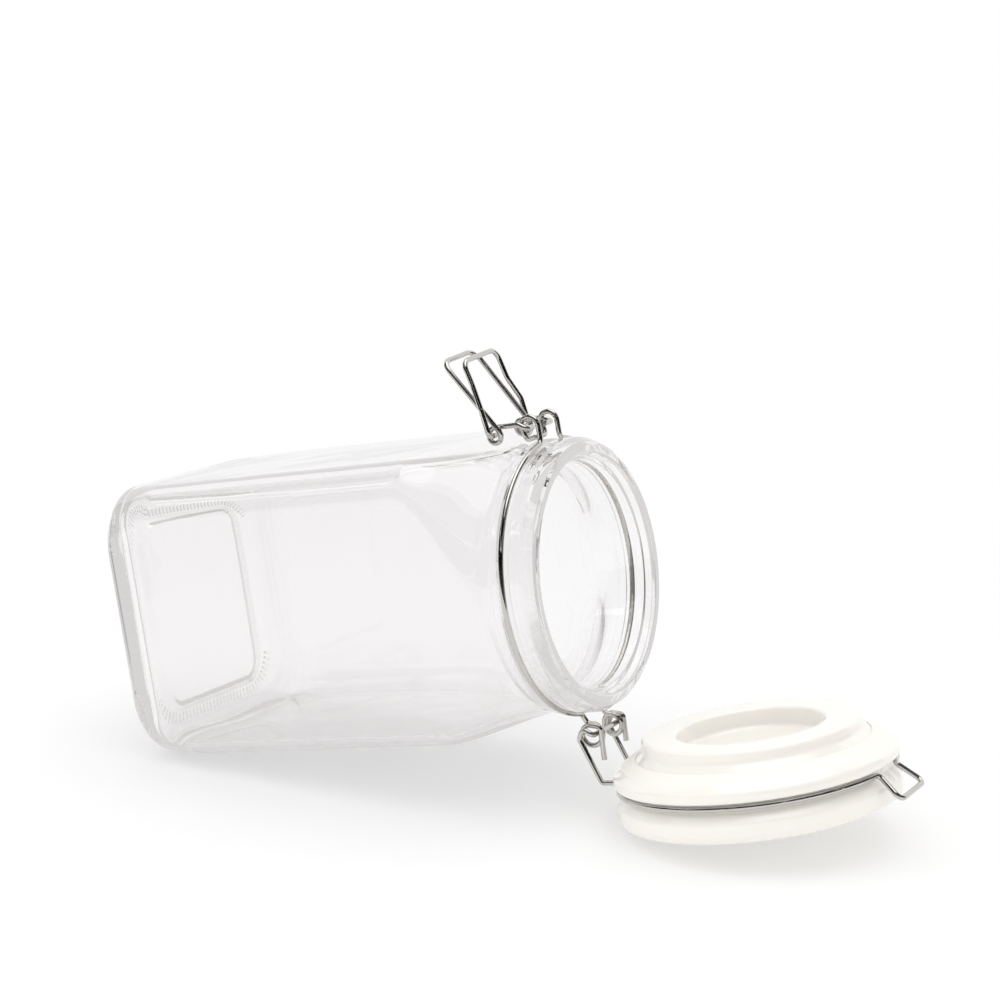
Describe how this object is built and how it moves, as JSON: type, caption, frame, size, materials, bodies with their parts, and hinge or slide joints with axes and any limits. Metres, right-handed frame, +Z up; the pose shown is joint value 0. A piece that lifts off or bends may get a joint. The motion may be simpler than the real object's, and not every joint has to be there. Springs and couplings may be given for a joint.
{
  "type": "clip-top storage jar",
  "caption": "Square glass storage jar with a round mouth, a hinged thick ceramic lid with a white seal, and a wire clip latch, lying open on its side.",
  "frame": {"origin": "centre of the bounding box's bottom, on the floor that the jar lies on", "axes": "+X level, from the jar's base end towards its mouth and the opened lid; +Y level across the jar; +Z up. The jar's own axis lies in the XZ plane and rises by 11.1 degrees towards the mouth."},
  "size_m": [0.3448, 0.115, 0.1781],
  "materials": {
    "clear_glass": "clear pressed and blown glass, smooth and glossy",
    "glazed_ceramic": "opaque warm white glazed ceramic, glossy",
    "white_silicone": "matt white silicone",
    "bright_wire": "bright drawn stainless wire"
  },
  "bodies": {
    "jar": {"glass_jar": "clear_glass", "neck_wire": "bright_wire"},
    "lid": {"ceramic_lid": "glazed_ceramic", "seal_ring": "white_silicone", "lid_wire": "bright_wire"},
    "lever": {"latch_lever": "bright_wire"},
    "bail": {"latch_bail": "bright_wire"}
  },
  "joints": [
    {"name": "lid_hinge", "type": "hinge", "parent": "jar", "child": "lid", "pos_m": [0.0418, 0, 0.03079], "axis": [0, -1, 0], "range_deg": [0, 90]},
    {"name": "lever_pivot", "type": "hinge", "parent": "jar", "child": "lever", "pos_m": [0.00793, 0, 0.15133], "axis": [0, 1, 0], "range_deg": [0, 100]},
    {"name": "bail_pivot", "type": "hinge", "parent": "lever", "child": "bail", "pos_m": [-0.00548, 0, 0.14747], "axis": [0, 1, 0], "range_deg": [0, 28]}
  ]
}
